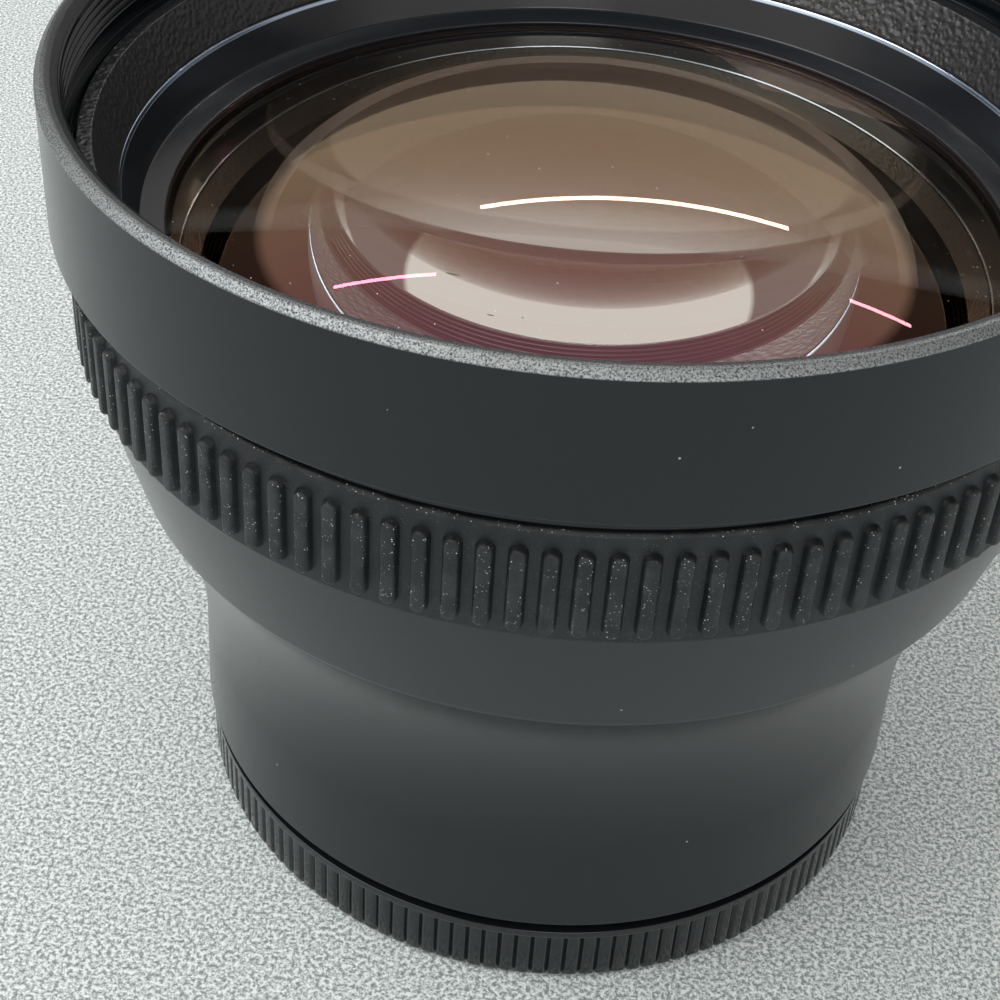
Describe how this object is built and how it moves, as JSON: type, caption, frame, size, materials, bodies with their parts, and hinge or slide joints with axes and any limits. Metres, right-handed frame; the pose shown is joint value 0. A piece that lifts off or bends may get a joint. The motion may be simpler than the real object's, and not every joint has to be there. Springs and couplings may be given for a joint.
{
  "type": "teleconverter lens",
  "caption": "Front-mounting tele converter lens: flared metal barrel with ribbed rubber grip, threaded front ring over a domed coated glass, and a fluted screw-on rear cap.",
  "frame": {"origin": "middle of the rear cap's underside, on the optical axis", "axes": "+Z along the optical axis out of the front glass; the part is round about Z, and the picture was taken from the -Y side"},
  "size_m": [0.09, 0.09, 0.076],
  "materials": {
    "cap_plastic": "glossy black moulded plastic",
    "inner_metal": "black anodised, satin",
    "inner_glass": "polished optical glass",
    "baffle_black": "matt black paint",
    "barrel_metal": "black anodised, satin",
    "shim_brass": "bare rolled brass",
    "screw_steel": "blackened steel",
    "front_glass": "polished, with a brown-mauve coating",
    "cushion_rubber": "matt",
    "retainer_metal": "black anodised, smooth satin",
    "bezel_black": "coarse black paint",
    "grip_rubber": "moulded rubber, dusty",
    "front_ring_metal": "black anodised, satin, worn to bare metal at the rim"
  },
  "bodies": {
    "root": {"rear_cap": "cap_plastic", "rear_mount_ring": "inner_metal", "rear_retaining_ring": "inner_metal", "fifth_lens": "inner_glass", "fourth_lens": "inner_glass", "rear_cell": "inner_metal", "baffle_tube": "baffle_black", "main_barrel": "barrel_metal", "spacing_shim": "shim_brass", "front_cell": "inner_metal", "set_screws": "screw_steel", "third_lens": "inner_glass", "lens_spacer": "inner_metal", "second_lens": "inner_glass", "front_lens": "front_glass", "cushion_ring": "cushion_rubber", "front_retaining_ring": "retainer_metal", "bezel_ring": "bezel_black", "rubber_grip": "grip_rubber", "front_ring": "front_ring_metal"}
  },
  "joints": []
}
